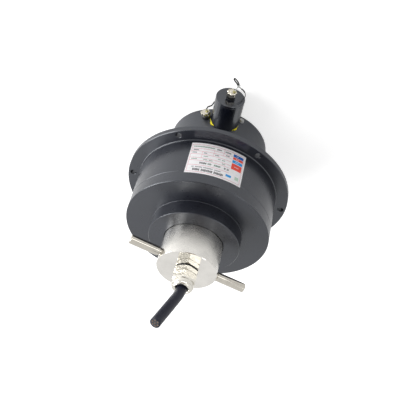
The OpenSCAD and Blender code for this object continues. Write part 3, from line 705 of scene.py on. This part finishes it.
def dress_nodes():
    """Gives every node its material, and adds the trim that shares one."""
    housing = anodised("anodised_housing", (0.009, 0.010, 0.017), (0.26, 0.34), level=0.46)
    rear = anodised("anodised_rear", (0.013, 0.015, 0.022), (0.36, 0.45), level=0.6)
    tower = anodised("anodised_tower", (0.005, 0.006, 0.012), (0.14, 0.20), level=0.58,
                     axis="Y", height=tower_axis_z, grain=0.03, sheen=0.5)
    dress(housing, "main_housing", "front_cover")
    add_cover_fillet(housing)
    dress(rear, "rear_housing", "rear_cover")
    dress(tower, "outlet_tower", "tower_cap")
    rubber = moulded("black_rubber", (0.012, 0.012, 0.013), 0.55)
    dress(rubber, "rear_cover_seal", "housing_seal", "front_cover_seal", "shaft_seal",
          "connector_gaskets", "gland_gasket", "gland_insert")
    add_gland_trim(rubber)
    shaft = turned_steel("shaft_steel", (0.74, 0.72, 0.68), (0.18, 0.28), sheen=0.75, depth=0.04,
                         end=shaft_end - 0.0004)
    dress(shaft, "shaft")
    dress(plated("arm_steel", (0.58, 0.55, 0.49), 0.06, 0.03), "torque_arm_a", "torque_arm_b")
    fastener = turned_steel("fastener_steel", (0.56, 0.56, 0.55), (0.25, 0.4))
    dress(fastener, "rear_cover_screws", "housing_screws", "holder_screws", "lanyard_screws",
          "earth_screw", "bearing_circlip", "shaft_circlip", "brush_springs", "power_locknut",
          "signal_locknut")
    bearing = turned_steel("bearing_steel", (0.72, 0.72, 0.73), (0.1, 0.2))
    dress(bearing, "front_bearing_outer", "rear_bearing_outer", "front_bearing_inner",
          "front_bearing_balls", "rear_bearing_inner", "rear_bearing_balls")
    dress(plated("cage_brass", (0.70, 0.50, 0.22), 0.3), "front_bearing_cage", "rear_bearing_cage")
    dress(moulded("moulded_resin", (0.30, 0.05, 0.025), 0.4), "power_brush_holders",
          "signal_brush_blocks", "power_insulators", "signal_insulators")
    dress(moulded("carbon", (0.02, 0.02, 0.021), 0.6, 0.3), "power_brushes")
    dress(plated("ring_bronze", (0.78, 0.56, 0.24), 0.25), "power_rings", "signal_rings",
          "signal_brush_wires")
    yellow = moulded("yellow_seal", (1.0, 0.86, 0.005), 0.35, patches=0.97)
    dress(yellow, "tower_seal")
    add_tower_beads(yellow)
    dress(moulded("black_connector", (0.010, 0.010, 0.011), 0.3), "connector_bodies")
    nickel = plated("nickel_plate", (0.74, 0.70, 0.61), 0.10)
    dress(nickel, "connector_nuts", "dust_caps")
    add_dust_caps(nickel)
    dress(plated("gland_nickel", (0.74, 0.715, 0.65), 0.12, waves=0.10), "gland_body", "gland_nut")
    dress(plated("cap_brass", (0.60, 0.56, 0.33), 0.3), "cap_studs")
    dress(wire("crimp_steel", (0.42, 0.43, 0.42)), "cap_lanyards", "lanyard_crimps")
    film = moulded("label_film", (0.93, 0.915, 0.93), 0.3, depth=0.03, scale=1500, patches=0.97)
    dress(film, "label")


# ---------- stage and light ----------

def background_rays(tree):
    """1 for the rays that show the background: from the camera, in gloss and through glass."""
    rays = add_node(tree, "LightPath").outputs
    total = rays["Is Camera Ray"]
    for name in ("Is Glossy Ray", "Is Transmission Ray"):
        total = add_node(tree, "Math", {0: total, 1: rays[name]}, operation="MAXIMUM").outputs[0]
    return total


FLOOR_HALF = 6.0
FLOOR_LIFT = 0.33  # for every ray that shows the background
CAMERA_LIFT = 0.28  # and on top of that for the camera's own


def add_floor():
    """A plain white floor that is lifted for the background's rays and keeps the shadow."""
    mesh = bpy.data.meshes.new("floor")
    corners = [(FLOOR_HALF * x, FLOOR_HALF * y, 0) for x, y in ((-1, -1), (1, -1), (1, 1), (-1, 1))]
    mesh.from_pydata(corners, [], [(0, 1, 2, 3)])
    floor = bpy.data.objects.new("floor", mesh)
    bpy.context.scene.collection.objects.link(floor)
    look = Look("floor", (0.86, 0.86, 0.86), 0.9, Specular_IOR_Level=0.0)
    glow = look.add("Emission", {"Color": (1, 1, 1, 1)})
    camera_ray = look.add("LightPath").outputs["Is Camera Ray"]
    shared = look.math("MULTIPLY", background_rays(look.tree), FLOOR_LIFT)
    lift = look.math("MULTIPLY_ADD", camera_ray, CAMERA_LIFT, shared)
    look.tree.links.new(lift, glow.inputs["Strength"])
    both = look.add("AddShader", {0: look.shader.outputs[0], 1: glow.outputs[0]})
    look.tree.links.new(both.outputs[0], look.tree.nodes["Material Output"].inputs[0])
    mesh.materials.append(look.material)


PART_MIDDLE = Vector((0, 0, 0.12))


def add_lamp(name, place, size, power):
    """A rectangular lamp that points at the middle of the part. Size in metres, power in watts."""
    data = bpy.data.lights.new(name, "AREA")
    data.shape = "RECTANGLE"
    data.size, data.size_y = size
    data.energy = power
    lamp = bpy.data.objects.new(name, data)
    lamp.location = place
    ahead = PART_MIDDLE - Vector(place)
    lamp.rotation_euler = ahead.to_track_quat("-Z", "Y").to_euler()
    bpy.context.scene.collection.objects.link(lamp)


AMBIENT = 0.38
TENT_WHITE = (1, 1, 1)
OPENING_COLOR = (0.30, 0.25, 0.20)
OPENING_DIRECTION = (0, -0.707, 0.707)
# Cosines of the angles from that direction at which the opening starts and is full
OPENING_EDGE = 0.93
OPENING_CORE = 0.98


def light_stage():
    """A white light tent with a dim opening high in front, and soft lamps round it."""
    world = bpy.data.worlds.new("studio")
    bpy.context.scene.world = world
    world.use_nodes = True
    tree = world.node_tree
    direction = add_node(tree, "TexCoord").outputs["Generated"]
    towards = add_node(
        tree, "VectorMath", {0: direction, 1: OPENING_DIRECTION}, operation="DOT_PRODUCT"
    ).outputs["Value"]
    dim = add_node(
        tree, "MapRange", {"Value": towards, "From Min": OPENING_EDGE, "From Max": OPENING_CORE},
        interpolation_type="SMOOTHSTEP",
    ).outputs[0]
    color = add_node(
        tree, "Mix", {"Factor": dim, 6: (*TENT_WHITE, 1), 7: (*OPENING_COLOR, 1)}, data_type="RGBA"
    ).outputs[2]
    strength = add_node(
        tree, "MapRange", {"Value": background_rays(tree), "To Min": AMBIENT, "To Max": 1.0}
    ).outputs[0]
    back = tree.nodes["Background"]
    tree.links.new(color, back.inputs["Color"])
    tree.links.new(strength, back.inputs["Strength"])
    add_lamp("key", (0.95, 0.75, 1.25), (0.9, 0.9), 14)
    add_lamp("side", (0.95, -0.25, 0.50), (0.7, 0.5), 8)
    add_lamp("strip", (-0.2, -1.35, 0.70), (1.4, 0.3), 2.5)
    add_lamp("corner", (-0.85, -0.55, 1.05), (0.35, 0.35), 0.7)


add_camera()
add_cable()
dress_nodes()
add_lanyards()
add_label_print()
add_floor()
light_stage()

view = bpy.context.scene.view_settings
view.view_transform = "Standard"
